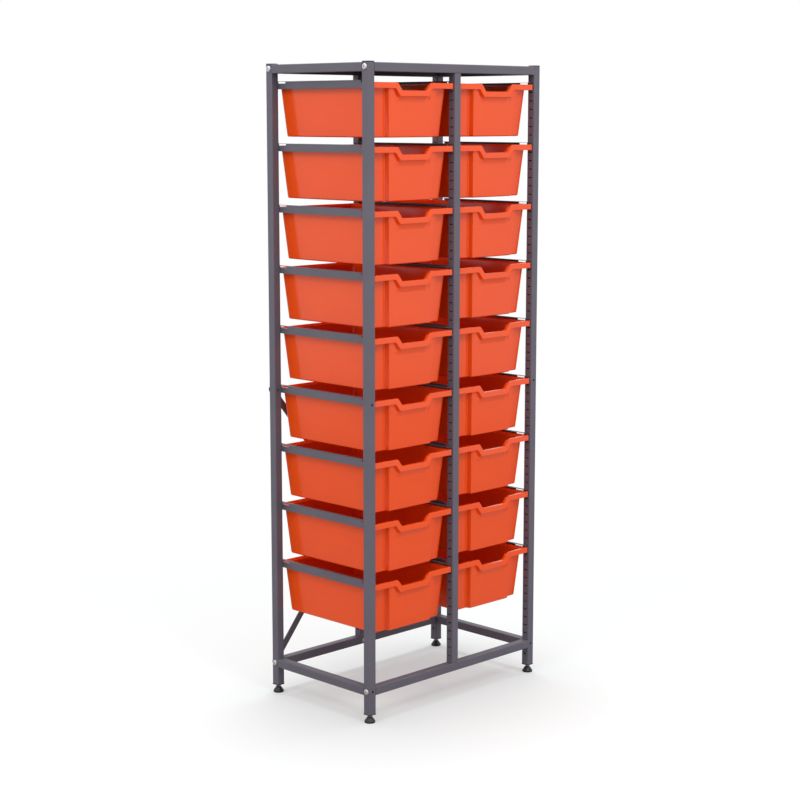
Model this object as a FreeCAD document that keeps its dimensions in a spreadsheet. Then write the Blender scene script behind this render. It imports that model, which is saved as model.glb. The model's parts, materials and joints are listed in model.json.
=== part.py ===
import FreeCAD, Part
import math
import os
import Sketcher

# Classroom tray storage unit: a square-tube frame, two columns wide, with nine rows of deep trays
# on pressed runners. Millimetres, +Z up, the fronts of the trays face -Y, +X is to the right seen
# from the front, and the origin is on the floor at the centre of the whole unit's box.

# ---------------------------------------------------------------- driving dimensions
SIZES = {
    # frame tube
    "tube_width": 25.0,
    "tube_wall": 1.5,
    "tube_corner": 2.5,
    # arrangement
    "row_count": 9,
    "tray_side_gap": 1.5,
    "tray_end_inset": 3.5,
    "tray_headroom": 12.0,
    "bottom_space": 144.5,
    "bottom_rail_rise": 53.5,
    "slot_pitch": 25.0,
    "slot_above_rim": 3.0,
    "slot_width": 12.0,
    "slot_height": 3.0,
    # tray
    "tray_width": 312.0,
    "tray_depth": 413.0,
    "tray_height": 150.0,
    "tray_wall": 2.0,
    "tray_floor": 2.5,
    "tray_draft": 5.0,
    "tray_corner": 9.0,
    "tray_bottom_radius": 4.0,
    "rim_thickness": 2.0,
    "rim_overhang": 11.0,
    "rim_corner": 4.0,
    "side_skirt": 14.7,
    "front_lip": 16.0,
    "corner_wall_setback": 17.5,
    "panel_setback": 4.8,
    "panel_inset": 57.5,
    "panel_slant": 5.0,
    "dip_top_width": 129.0,
    "dip_bottom_width": 95.0,
    "dip_depth": 21.5,
    "dip_band": 16.0,
    # runner
    "runner_sheet": 1.0,
    "runner_gap": 0.3,
    "runner_headroom": 5.0,
    "runner_top_flange": 10.0,
    "runner_bottom_flange": 12.0,
    "runner_window_length": 30.0,
    "slot_uncovered": 5.0,
    "hook_width": 6.6,
    "hook_height": 2.5,
    "hook_drop": 3.0,
    "hook_side_gap": 0.2,
    "hook_wall_gap": 0.1,
    # feet
    "foot_radius": 15.5,
    "foot_rim_height": 5.0,
    "foot_neck_radius": 6.5,
    "foot_base_height": 18.0,
    "foot_edge_radius": 1.5,
    "stem_radius": 4.0,
    "stem_exposed": 5.0,
    "stem_clearance": 0.05,
    "stem_in_insert": 20.0,
    "insert_flange": 3.0,
    "insert_depth": 22.0,
    "insert_edge": 0.8,
    "plug_clearance": 0.05,
    # caps
    "cap_thickness": 3.0,
    "cap_edge_radius": 1.2,
    "cap_plug_depth": 6.0,
    # bolts through the posts into the rails
    "bolt_radius": 4.0,
    "bolt_clearance": 0.2,
    "bolt_head_radius": 8.5,
    "bolt_head_height": 4.5,
    "bolt_recess_radius": 2.6,
    "bolt_recess_depth": 2.0,
    "bolt_dome_share": 0.8,
    "bolt_tip_cover": 2.0,
    "rail_insert_depth": 20.0,
    # middle posts' spigots and bolts
    "spigot_post_depth": 20.0,
    "spigot_rail_depth": 20.0,
    "spigot_neck": 16.0,
    "spigot_clearance": 0.2,
    "small_bolt_radius": 3.0,
    "small_head_radius": 6.0,
    "small_head_height": 3.3,
    "small_recess_radius": 1.9,
    "small_bolt_length": 18.0,
    # folded sheet that closes the top
    "top_sheet": 1.0,
    "top_panel_gap": 0.2,
    "top_panel_corner": 3.0,
    "top_panel_bend": 0.8,
    "top_panel_head_gap": 0.5,
    # braces, and the holes that the posts have for them and for add-on parts
    "post_hole_radius": 3.5,
    "post_hole_rise": 825.0,
    "inner_hole_height": 34.0,
    "brace_width": 20.0,
    "brace_thickness": 3.0,
    "brace_screw_radius": 3.0,
    "brace_screw_clearance": 0.2,
    "brace_head_radius": 6.5,
    "brace_head_height": 3.5,
    "brace_screw_reach": 6.0,
    "brace_spacer_radius": 8.0,
}

DOC = FreeCAD.newDocument("tray_storage_unit")
SHEET = DOC.addObject("Spreadsheet::Sheet", "sizes")
for row, (alias, number) in enumerate(SIZES.items(), start=1):
    SHEET.set(f"A{row}", str(number))
    SHEET.setAlias(f"A{row}", alias)
DOC.recompute()

# ---------------------------------------------------------------- what follows from them
TUBE = "sizes.tube_width"
TUBE_BORE = "(sizes.tube_width - 2 * sizes.tube_wall)"
PLUG_WIDTH = f"({TUBE_BORE} - 2 * sizes.plug_clearance)"
COLUMN = "(sizes.tray_width + 2 * sizes.tray_side_gap)"
RAIL_SPAN = f"(2 * {COLUMN} + {TUBE})"
HALF_WIDTH = f"({RAIL_SPAN} / 2 + {TUBE})"
POST_X = f"({HALF_WIDTH} - {TUBE} / 2)"
TRAY_X = f"(({COLUMN} + {TUBE}) / 2)"

FRAME_DEPTH = "(sizes.tray_depth + 2 * sizes.tray_end_inset)"
SIDE_SPAN = f"({FRAME_DEPTH} - 2 * {TUBE})"
FOOT_PROJECTION = f"max(0; sizes.foot_radius - {TUBE} / 2)"
REAR_PROJECTION = "(2 * sizes.brace_thickness + sizes.brace_head_height)"
FRAME_Y = f"(({FOOT_PROJECTION} - {REAR_PROJECTION}) / 2)"
FRONT_FACE = f"({FRAME_Y} - {FRAME_DEPTH} / 2)"
BACK_FACE = f"({FRAME_Y} + {FRAME_DEPTH} / 2)"
FRONT_Y = f"({FRONT_FACE} + {TUBE} / 2)"
BACK_Y = f"({BACK_FACE} - {TUBE} / 2)"

SLOTS_PER_ROW = "ceil((sizes.tray_height + sizes.tray_headroom) / sizes.slot_pitch)"
ROW_PITCH = f"({SLOTS_PER_ROW} * sizes.slot_pitch)"
FIRST_RIM_DROP = "(sizes.slot_pitch + sizes.slot_above_rim)"
CLEAR_HEIGHT = (f"({FIRST_RIM_DROP} + (sizes.row_count - 1) * {ROW_PITCH}"
                " + sizes.tray_height + sizes.bottom_space)")
FOOT_HEIGHT = "(sizes.foot_base_height + sizes.stem_exposed + sizes.insert_flange)"
POST_LENGTH = f"(sizes.bottom_rail_rise + 2 * {TUBE} + {CLEAR_HEIGHT})"
POST_TOP = f"({FOOT_HEIGHT} + {POST_LENGTH})"
BOTTOM_RAIL_Z = f"({FOOT_HEIGHT} + sizes.bottom_rail_rise + {TUBE} / 2)"
TOP_RAIL_Z = f"({POST_TOP} - {TUBE} / 2)"
MIDDLE_POST_FOOT = f"({BOTTOM_RAIL_Z} + {TUBE} / 2)"
SLOT_COUNT = f"floor(({CLEAR_HEIGHT} - sizes.slot_height) / sizes.slot_pitch)"
LOWEST_SLOT = f"({CLEAR_HEIGHT} - {SLOT_COUNT} * sizes.slot_pitch)"

RUNNER_EAR = f"({TUBE} / 2 + sizes.slot_width / 2 - sizes.slot_uncovered)"
RUNNER_LENGTH = f"({SIDE_SPAN} + 2 * {RUNNER_EAR})"

X_AXIS = FreeCAD.Vector(1, 0, 0)
Y_AXIS = FreeCAD.Vector(0, 1, 0)
Z_AXIS = FreeCAD.Vector(0, 0, 1)
QUARTER = 90
NEAR = 0.01
SMALLEST_CUT = 0.1
SIDES = (("left", -1), ("right", 1))
NODES = {}


def size(expression):
    """The value of an expression over the sheet's named sizes."""
    return float(SHEET.evalExpression(str(expression)))


ROWS = range(int(size("sizes.row_count")))


def rim_height(row):
    """Height of the rims of the trays in one row, the top row being 0."""
    return f"({POST_TOP} - {TUBE} - {FIRST_RIM_DROP} - {row} * {ROW_PITCH})"


# ---------------------------------------------------------------- small helpers
def new_body(name):
    body = DOC.addObject("PartDesign::Body", name)
    body.Label = name
    return body


def keep(name, item):
    """Count an object as a node of the finished unit."""
    item.Label = name
    NODES[name] = item
    return item


def place(item, x, y, z, rotation=FreeCAD.Rotation()):
    """Place an object, its position bound to the sheet."""
    item.Placement = FreeCAD.Placement(FreeCAD.Vector(size(x), size(y), size(z)), rotation)
    item.setExpression("Placement.Base.x", str(x))
    item.setExpression("Placement.Base.y", str(y))
    item.setExpression("Placement.Base.z", str(z))


def origin_item(body, role):
    return next(item for item in body.Origin.OriginFeatures if item.Role == role)


def sketch_on(body, role, name, offset=None):
    """A sketch on one of the body's origin planes, moved along its normal by offset."""
    sketch = body.newObject("Sketcher::SketchObject", name)
    sketch.AttachmentSupport = (origin_item(body, role), [""])
    sketch.MapMode = "FlatFace"
    if offset is not None:
        sketch.AttachmentOffset = FreeCAD.Placement(FreeCAD.Vector(0, 0, size(offset)),
                                                    FreeCAD.Rotation())
        sketch.setExpression("AttachmentOffset.Base.z", offset)
    return sketch


def pin(sketch, kind, geometry, point, expression):
    """Hold one coordinate of a sketch point at an expression's value."""
    constraint = Sketcher.Constraint(kind, -1, 1, geometry, point, size(expression))
    index = sketch.addConstraint(constraint)
    sketch.setExpression(f"Constraints[{index}]", str(expression))


def add_outline(sketch, corners):
    """A closed outline of straight lines through corners given as pairs of expressions."""
    points = [FreeCAD.Vector(size(x), size(y), 0) for x, y in corners]
    first = sketch.GeometryCount
    count = len(points)
    for number in range(count):
        line = Part.LineSegment(points[number], points[(number + 1) % count])
        sketch.addGeometry(line)
    for number, (x, y) in enumerate(corners):
        following = first + (number + 1) % count
        sketch.addConstraint(Sketcher.Constraint("Coincident", first + number, 2, following, 1))
        pin(sketch, "DistanceX", first + number, 1, x)
        pin(sketch, "DistanceY", first + number, 1, y)


def add_box(sketch, x_low, x_high, y_low, y_high):
    add_outline(sketch, ((x_low, y_low), (x_high, y_low), (x_high, y_high), (x_low, y_high)))


def add_square(sketch, width, x="0", y="0"):
    add_box(sketch, f"{x} - {width} / 2", f"{x} + {width} / 2",
            f"{y} - {width} / 2", f"{y} + {width} / 2")


def add_circle(sketch, x, y, radius):
    centre = FreeCAD.Vector(size(x), size(y), 0)
    index = sketch.addGeometry(Part.Circle(centre, Z_AXIS, size(radius)))
    pin(sketch, "DistanceX", index, 3, x)
    pin(sketch, "DistanceY", index, 3, y)
    held = sketch.addConstraint(Sketcher.Constraint("Radius", index, size(radius)))
    sketch.setExpression(f"Constraints[{held}]", str(radius))


def pad(body, sketch, length, reverse=False, both_ways=False, taper=None):
    feature = body.newObject("PartDesign::Pad", sketch.Name + "_pad")
    feature.Profile = sketch
    feature.setExpression("Length", str(length))
    feature.Reversed = reverse
    feature.Midplane = both_ways
    if taper is not None:
        feature.setExpression("TaperAngle", taper)
    DOC.recompute()
    return feature


def pocket(body, sketch, length=None, reverse=False, taper=None):
    """Cut a sketch's outline away against its normal (or along it), or right through both ways."""
    before = body.Shape.Volume
    feature = body.newObject("PartDesign::Pocket", sketch.Name + "_pocket")
    feature.Profile = sketch
    if length is None:
        feature.Type = "ThroughAll"
        feature.Midplane = True
    else:
        feature.Type = "Length"
        feature.setExpression("Length", str(length))
        feature.Reversed = reverse
    if taper is not None:
        feature.setExpression("TaperAngle", taper)
    DOC.recompute()
    if before - body.Shape.Volume < SMALLEST_CUT:
        raise RuntimeError(f"{body.Name}: {sketch.Name} cuts nothing")
    return feature


def edges_where(shape, wanted):
    return [f"Edge{number}" for number, edge in enumerate(shape.Edges, start=1) if wanted(edge)]


def fillet(body, radius, wanted):
    """Round the edges of the body's latest feature that a test picks out."""
    base = body.Tip
    names = edges_where(base.Shape, wanted)
    if not names:
        raise RuntimeError(f"{body.Name}: no edge to round")
    feature = body.newObject("PartDesign::Fillet", "fillet")
    feature.Base = (base, names)
    feature.setExpression("Radius", radius)
    DOC.recompute()
    return feature


def along_z(edge):
    """True for an edge that runs mainly up and down."""
    span = edge.BoundBox
    return span.ZLength > span.XLength and span.ZLength > span.YLength


def group(name, master, placements):
    """A node of several equal solids: copies of one body's shape at the given placements."""
    node = DOC.addObject("Part::Feature", name)
    copies = []
    for spot in placements:
        copy = master.Shape.copy()
        copy.Placement = spot.multiply(copy.Placement)
        copies.append(copy)
    node.Shape = Part.makeCompound(copies)
    return keep(name, node)


def spot(x, y, z, rotation=FreeCAD.Rotation()):
    return FreeCAD.Placement(FreeCAD.Vector(size(x), size(y), size(z)), rotation)


# ---------------------------------------------------------------- frame tubes
def tube(name, length):
    """A length of square tube standing on its own origin."""
    body = new_body(name)
    section = sketch_on(body, "XY_Plane", "section")
    add_square(section, TUBE)
    add_square(section, TUBE_BORE)
    pad(body, section, length)
    outer_reach = size(TUBE) / 2

    def at_outer_corner(edge):
        middle = edge.CenterOfMass
        return along_z(edge) and abs(abs(middle.x) - outer_reach) < NEAR

    fillet(body, "sizes.tube_corner", at_outer_corner)
    bore_reach = size(TUBE_BORE) / 2

    def at_bore_corner(edge):
        middle = edge.CenterOfMass
        return (along_z(edge) and abs(abs(middle.x) - bore_reach) < NEAR
                and abs(abs(middle.y) - bore_reach) < NEAR)

    fillet(body, "sizes.tube_corner - sizes.tube_wall", at_bore_corner)
    return body


def cut_slots(body, lowest, towards_right):
    """Cut the column of hook slots in one side wall."""
    sketch = sketch_on(body, "YZ_Plane", "slot")
    add_box(sketch, "-sizes.slot_width / 2", "sizes.slot_width / 2",
            f"{lowest} - sizes.slot_height / 2", f"{lowest} + sizes.slot_height / 2")
    cut = pocket(body, sketch, TUBE, reverse=towards_right)
    pattern = body.newObject("PartDesign::LinearPattern", "slots")
    pattern.Originals = [cut]
    pattern.Direction = (origin_item(body, "Z_Axis"), [""])
    pattern.setExpression("Length", f"sizes.slot_pitch * ({SLOT_COUNT} - 1)")
    pattern.setExpression("Occurrences", SLOT_COUNT)
    body.Tip = pattern
    DOC.recompute()


def corner_post(name, side, y):
    """A corner post; side is -1 on the left and 1 on the right."""
    body = tube(name, POST_LENGTH)
    inner_is_right = side < 0
    low_rail = f"(sizes.bottom_rail_rise + {TUBE} / 2)"
    high_rail = f"({POST_LENGTH} - {TUBE} / 2)"

    side_holes = sketch_on(body, "YZ_Plane", "bolt_holes")
    add_circle(side_holes, "0", low_rail, "sizes.bolt_radius + sizes.bolt_clearance")
    add_circle(side_holes, "0", high_rail, "sizes.bolt_radius + sizes.bolt_clearance")
    pocket(body, side_holes)

    front_holes = sketch_on(body, "XZ_Plane", "front_holes")
    add_circle(front_holes, "0", low_rail, "sizes.post_hole_radius")
    add_circle(front_holes, "0", f"{low_rail} + sizes.post_hole_rise", "sizes.post_hole_radius")
    pocket(body, front_holes)

    inner_hole = sketch_on(body, "YZ_Plane", "inner_hole")
    add_circle(inner_hole, "0", "sizes.inner_hole_height", "sizes.post_hole_radius")
    pocket(body, inner_hole, TUBE, reverse=inner_is_right)

    lowest = f"(sizes.bottom_rail_rise + {TUBE} + {LOWEST_SLOT})"
    cut_slots(body, lowest, inner_is_right)
    place(body, f"{side} * {POST_X}", y, FOOT_HEIGHT)
    keep(name, body)


def middle_post(name, y):
    body = tube(name, CLEAR_HEIGHT)
    cut_slots(body, LOWEST_SLOT, False)
    cut_slots(body, LOWEST_SLOT, True)
    place(body, "0", y, MIDDLE_POST_FOOT)
    keep(name, body)


ALONG_X = FreeCAD.Rotation(Y_AXIS, QUARTER)
ALONG_Y = FreeCAD.Rotation(X_AXIS, -QUARTER)


def cross_rail(name, y, z, facing_back, is_top):
    """A front or back rail, holed at mid-length for the middle post's spigot and its bolt."""
    body = tube(name, RAIL_SPAN)
    middle = f"({RAIL_SPAN} / 2)"
    neck_hole = sketch_on(body, "YZ_Plane", "spigot_hole")
    add_square(neck_hole, "(sizes.spigot_neck + 2 * sizes.spigot_clearance)", "0", middle)
    pocket(body, neck_hole, TUBE, reverse=is_top)
    bolt_hole = sketch_on(body, "XZ_Plane", "bolt_hole")
    add_circle(bolt_hole, "0", middle, "sizes.small_bolt_radius + sizes.bolt_clearance")
    pocket(body, bolt_hole, TUBE, reverse=not facing_back)
    place(body, f"-{RAIL_SPAN} / 2", y, z, ALONG_X)
    keep(name, body)


def side_rail(name, side, z):
    body = tube(name, SIDE_SPAN)
    place(body, f"{side} * {POST_X}", f"{FRONT_FACE} + {TUBE}", z, ALONG_Y)
    keep(name, body)


def make_frame():
    for side_name, side in SIDES:
        corner_post(f"post_front_{side_name}", side, FRONT_Y)
        corner_post(f"post_back_{side_name}", side, BACK_Y)
        side_rail(f"top_rail_{side_name}", side, TOP_RAIL_Z)
        side_rail(f"bottom_rail_{side_name}", side, BOTTOM_RAIL_Z)
    for place_name, y, faces_back in (("front", FRONT_Y, True), ("back", BACK_Y, False)):
        middle_post(f"post_{place_name}_middle", y)
        cross_rail(f"top_rail_{place_name}", y, TOP_RAIL_Z, faces_back, True)
        cross_rail(f"bottom_rail_{place_name}", y, BOTTOM_RAIL_Z, faces_back, False)


# ---------------------------------------------------------------- top panel
def make_top_panel():
    """A sheet flush with the tops of the rails; its turned-down edge clears the bolt heads."""
    body = new_body("top_panel")
    half_width = f"({RAIL_SPAN} / 2 - sizes.top_panel_gap)"
    half_depth = f"({SIDE_SPAN} / 2 - sizes.top_panel_gap)"
    sheet = "sizes.top_sheet"
    edge_depth = f"({TUBE} / 2 - sizes.small_head_radius - sizes.top_panel_head_gap)"
    outline = sketch_on(body, "XY_Plane", "outline")
    add_box(outline, f"-{half_width}", half_width, f"-{half_depth}", half_depth)
    pad(body, outline, edge_depth, reverse=True)
    fillet(body, "sizes.top_panel_corner",
           lambda edge: edge.BoundBox.ZLength > size(edge_depth) - NEAR)
    fillet(body, "sizes.top_panel_bend", lambda edge: edge.BoundBox.ZMin > -NEAR)
    hollow = sketch_on(body, "XY_Plane", "hollow", f"-{sheet}")
    add_box(hollow, f"{sheet} - {half_width}", f"{half_width} - {sheet}",
            f"{sheet} - {half_depth}", f"{half_depth} - {sheet}")
    pocket(body, hollow, edge_depth)
    inner_width = size(f"{half_width} - {sheet}")

    def at_hollow_corner(edge):
        return (edge.BoundBox.ZLength > 1
                and abs(abs(edge.CenterOfMass.x) - inner_width) < NEAR)

    fillet(body, f"sizes.top_panel_corner - {sheet}", at_hollow_corner)
    place(body, "0", FRAME_Y, POST_TOP)
    keep("top_panel", body)


# ---------------------------------------------------------------- runners
def runner_master():
    """One pressed runner: its web lies on the plane x = 0 and its flanges reach to +X.

    y = 0 is the middle of its length and z = 0 is the height of the tray's rim.
    """
    body = new_body("runner")
    sheet = "sizes.runner_sheet"
    seat = "(-sizes.side_skirt - sizes.runner_gap)"
    roof = "sizes.runner_headroom"
    profile = sketch_on(body, "XZ_Plane", "channel")
    add_outline(profile, (
        ("0", f"{seat} - {sheet}"),
        ("sizes.runner_bottom_flange", f"{seat} - {sheet}"),
        ("sizes.runner_bottom_flange", seat),
        (sheet, seat),
        (sheet, roof),
        ("sizes.runner_top_flange", roof),
        ("sizes.runner_top_flange", f"{roof} + {sheet}"),
        ("0", f"{roof} + {sheet}"),
    ))
    pad(body, profile, RUNNER_LENGTH, both_ways=True)

    half_span = f"({SIDE_SPAN} / 2)"
    windows = sketch_on(body, "YZ_Plane", "windows")
    add_box(windows, f"{half_span} - sizes.runner_window_length", half_span, "0", roof)
    add_box(windows, f"-{half_span}", f"sizes.runner_window_length - {half_span}", "0", roof)
    pocket(body, windows, f"2 * {sheet}", reverse=True)

    slot_rear = f"({half_span} + {TUBE} / 2 - sizes.slot_width / 2 + sizes.hook_side_gap)"
    slot_floor = "(sizes.slot_above_rim - sizes.slot_height / 2)"
    hook_top = f"({slot_floor} + sizes.hook_height)"
    behind_wall = "(sizes.tube_wall + sizes.hook_wall_gap)"
    tabs = sketch_on(body, "YZ_Plane", "hook_tabs")
    lips = sketch_on(body, "YZ_Plane", "hook_lips", f"-{behind_wall}")
    for low, high in ((slot_rear, f"{slot_rear} + sizes.hook_width"),
                      (f"-{slot_rear} - sizes.hook_width", f"-{slot_rear}")):
        add_box(tabs, low, high, slot_floor, hook_top)
        add_box(lips, low, high, f"{slot_floor} - sizes.hook_drop", hook_top)
    pad(body, tabs, f"{behind_wall} + {sheet}", reverse=True)
    pad(body, lips, sheet, reverse=True)
    return body


def make_runners():
    master = runner_master()
    half_turn = FreeCAD.Rotation(Z_AXIS, 2 * QUARTER)
    straight = FreeCAD.Rotation()
    faces = (
        ("runners_left_outer", f"-{RAIL_SPAN} / 2", straight),
        ("runners_left_inner", f"-{TUBE} / 2", half_turn),
        ("runners_right_inner", f"{TUBE} / 2", straight),
        ("runners_right_outer", f"{RAIL_SPAN} / 2", half_turn),
    )
    for name, x, turn in faces:
        group(name, master, [spot(x, FRAME_Y, rim_height(row), turn) for row in ROWS])


# ---------------------------------------------------------------- trays
def tray(name):
    """A deep tray. Its own origin is at the middle of the front lip's top edge."""
    body = new_body(name)
    half = "(sizes.tray_width / 2)"
    depth = "sizes.tray_depth"
    wall = "sizes.tray_wall"

    # rim and skirt: a solid slab, hollowed from below
    rim = sketch_on(body, "XY_Plane", "rim")
    add_box(rim, f"-{half}", half, "0", depth)
    pad(body, rim, "sizes.side_skirt", reverse=True)
    fillet(body, "sizes.rim_corner", along_z)
    under_rim = sketch_on(body, "XY_Plane", "under_rim", "-sizes.rim_thickness")
    add_box(under_rim, f"-{half} + {wall}", f"{half} - {wall}", wall, f"{depth} - {wall}")
    pocket(body, under_rim, "sizes.side_skirt")

    # drafted tub with the front panel standing ahead of its front corners
    side = f"({half} - sizes.rim_overhang)"
    rear = f"({depth} - sizes.rim_overhang)"
    panel_edge = f"({half} - sizes.panel_inset)"
    panel_root = f"({panel_edge} + sizes.panel_slant)"
    front = "sizes.corner_wall_setback"
    panel = "sizes.panel_setback"
    tub = sketch_on(body, "XY_Plane", "tub")
    add_outline(tub, (
        (f"-{side}", front), (f"-{panel_root}", front), (f"-{panel_edge}", panel),
        (panel_edge, panel), (panel_root, front), (side, front),
        (side, rear), (f"-{side}", rear),
    ))
    pad(body, tub, "sizes.tray_height", reverse=True, taper="-sizes.tray_draft")
    floor_z = -size("sizes.tray_height")
    skirt_z = -size("sizes.side_skirt")

    def at_tub_corner(edge):
        middle = edge.CenterOfMass
        return (along_z(edge) and edge.BoundBox.ZMin < skirt_z - 1
                and abs(middle.x) > size(panel_root) + 1)

    fillet(body, "sizes.tray_corner", at_tub_corner)
    fillet(body, "sizes.tray_bottom_radius",
           lambda edge: edge.BoundBox.ZMax < floor_z + NEAR)

    # front lip, dipped in the middle, and the ledge that joins the dip to the panel
    slope_run = "((sizes.dip_top_width - sizes.dip_bottom_width) / 2)"
    slope = f"sqrt({slope_run} * {slope_run} + sizes.dip_depth * sizes.dip_depth)"

    def dip_corners(offset, top):
        """Half-widths of the dip's outline, offset outwards, at height top and at its bottom."""
        upper = (f"(sizes.dip_top_width / 2 + {offset} * {slope} / sizes.dip_depth"
                 f" - {top} * {slope_run} / sizes.dip_depth)")
        lower = (f"(sizes.dip_bottom_width / 2"
                 f" + {offset} * ({slope} - {slope_run}) / sizes.dip_depth)")
        return upper, lower

    lip_end = f"({half} - sizes.rim_corner)"
    band_upper, band_lower = dip_corners("sizes.dip_band", "sizes.front_lip")
    band_floor = "(-sizes.dip_depth - sizes.dip_band)"
    lip = sketch_on(body, "XZ_Plane", "lip")
    add_outline(lip, (
        (f"-{lip_end}", "0"), (f"-{lip_end}", "-sizes.front_lip"),
        (f"-{band_upper}", "-sizes.front_lip"), (f"-{band_lower}", band_floor),
        (band_lower, band_floor), (band_upper, "-sizes.front_lip"),
        (lip_end, "-sizes.front_lip"), (lip_end, "0"),
    ))
    pad(body, lip, wall, reverse=True)
    ledge_upper, ledge_lower = dip_corners("sizes.rim_thickness", "0")
    ledge_floor = "(-sizes.dip_depth - sizes.rim_thickness)"
    ledge = sketch_on(body, "XZ_Plane", "ledge")
    add_outline(ledge, (
        (f"-{ledge_upper}", "0"), (f"-{ledge_lower}", ledge_floor),
        (ledge_lower, ledge_floor), (ledge_upper, "0"),
    ))
    panel_lean = "sizes.dip_depth * tan(sizes.tray_draft * 1 deg)"
    pad(body, ledge, f"{panel} + {wall} + {panel_lean}", reverse=True)

    # inside of the tub
    slant = "(sizes.panel_slant / (sizes.corner_wall_setback - sizes.panel_setback))"
    inner_shift = f"({wall} * (sqrt(1 + {slant} * {slant}) - {slant}))"
    inside = sketch_on(body, "XY_Plane", "inside")
    add_outline(inside, (
        (f"-{side} + {wall}", f"{front} + {wall}"),
        (f"-{panel_root} + {inner_shift}", f"{front} + {wall}"),
        (f"-{panel_edge} + {inner_shift}", f"{panel} + {wall}"),
        (f"{panel_edge} - {inner_shift}", f"{panel} + {wall}"),
        (f"{panel_root} - {inner_shift}", f"{front} + {wall}"),
        (f"{side} - {wall}", f"{front} + {wall}"),
        (f"{side} - {wall}", f"{rear} - {wall}"), (f"-{side} + {wall}", f"{rear} - {wall}"),
    ))
    pocket(body, inside, "sizes.tray_height - sizes.tray_floor", taper="-sizes.tray_draft")

    dip = sketch_on(body, "XZ_Plane", "dip")
    dip_upper, dip_lower = dip_corners("0", "0")
    add_outline(dip, (
        (f"-{dip_upper}", "0"), (f"-{dip_lower}", "-sizes.dip_depth"),
        (dip_lower, "-sizes.dip_depth"), (dip_upper, "0"),
    ))
    pocket(body, dip, "sizes.corner_wall_setback")
    return body


def make_trays():
    first_y = f"({FRONT_FACE} + sizes.tray_end_inset)"
    for side_name, side in SIDES:
        for row in ROWS:
            name = f"tray_{side_name}_{row + 1}"
            body = tray(name)
            place(body, f"{side} * {TRAY_X}", first_y, rim_height(row))
            keep(name, body)


# ---------------------------------------------------------------- feet and caps
def foot_base(name):
    """The pad: a disc that narrows to a neck, bored for its stem."""
    body = new_body(name)
    profile = sketch_on(body, "XZ_Plane", "profile")
    add_outline(profile, (
        ("0", "0"), ("sizes.foot_radius", "0"),
        ("sizes.foot_radius", "sizes.foot_rim_height"),
        ("sizes.foot_neck_radius", "sizes.foot_base_height"),
        ("sizes.stem_radius", "sizes.foot_base_height"),
        ("sizes.stem_radius", "sizes.foot_rim_height"),
        ("0", "sizes.foot_rim_height"),
    ))
    turned = body.newObject("PartDesign::Revolution", "turned")
    turned.Profile = profile
    turned.ReferenceAxis = (origin_item(body, "Z_Axis"), [""])
    turned.Angle = 4 * QUARTER
    DOC.recompute()
    outer = size("sizes.foot_radius")
    fillet(body, "sizes.foot_edge_radius",
           lambda edge: edge.BoundBox.XMax > outer - NEAR and edge.BoundBox.ZLength < NEAR)
    return body


def foot_stem(name):
    body = new_body(name)
    section = sketch_on(body, "XY_Plane", "section")
    add_circle(section, "0", "0", "sizes.stem_radius")
    stem_length = (f"({FOOT_HEIGHT} - sizes.foot_rim_height + sizes.stem_in_insert)")
    pad(body, section, stem_length)
    return body


def foot_insert_master():
    """Threaded tube insert: a square flange under the post and a plug inside it."""
    body = new_body("foot_insert")
    flange = sketch_on(body, "XY_Plane", "flange")
    add_square(flange, TUBE)
    pad(body, flange, "sizes.insert_flange")
    fillet(body, "sizes.insert_edge", lambda edge: edge.BoundBox.ZMax < NEAR)
    plug = sketch_on(body, "XY_Plane", "plug", "sizes.insert_flange")
    add_square(plug, PLUG_WIDTH)
    pad(body, plug, "sizes.insert_depth")
    round_plug_corners(body)
    bore = sketch_on(body, "XY_Plane", "bore")
    add_circle(bore, "0", "0", "sizes.stem_radius + sizes.stem_clearance")
    pocket(body, bore)
    return body


def round_plug_corners(body):
    """Round a plug's long edges, so that it clears the rounded corners of the tube's bore."""
    reach = size(PLUG_WIDTH) / 2

    def at_plug_corner(edge):
        middle = edge.CenterOfMass
        return (along_z(edge) and abs(abs(middle.x) - reach) < NEAR
                and abs(abs(middle.y) - reach) < NEAR)

    fillet(body, "sizes.tube_corner - sizes.tube_wall", at_plug_corner)


def cap_master():
    """Black cap: its plate lies on the post's open top and its plug goes inside."""
    body = new_body("cap")
    plate = sketch_on(body, "XY_Plane", "plate")
    add_square(plate, TUBE)
    pad(body, plate, "sizes.cap_thickness")
    fillet(body, "sizes.tube_corner", along_z)
    top = size("sizes.cap_thickness")
    fillet(body, "sizes.cap_edge_radius", lambda edge: edge.BoundBox.ZMin > top - NEAR)
    plug = sketch_on(body, "XY_Plane", "plug")
    add_square(plug, PLUG_WIDTH)
    pad(body, plug, "sizes.cap_plug_depth", reverse=True)
    round_plug_corners(body)
    return body


def make_feet_and_caps():
    for side_name, side in SIDES:
        for place_name, y in (("front", FRONT_Y), ("back", BACK_Y)):
            corner = f"{place_name}_{side_name}"
            base = foot_base(f"foot_base_{corner}")
            place(base, f"{side} * {POST_X}", y, "0")
            keep(f"foot_base_{corner}", base)
            stem = foot_stem(f"foot_stem_{corner}")
            place(stem, f"{side} * {POST_X}", y, "sizes.foot_rim_height")
            keep(f"foot_stem_{corner}", stem)
    corners = [(f"{side} * {POST_X}", y) for _, side in SIDES for y in (FRONT_Y, BACK_Y)]
    insert_floor = f"({FOOT_HEIGHT} - sizes.insert_flange)"
    group("foot_inserts", foot_insert_master(), [spot(x, y, insert_floor) for x, y in corners])
    group("top_caps", cap_master(), [spot(x, y, POST_TOP) for x, y in corners])


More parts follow.
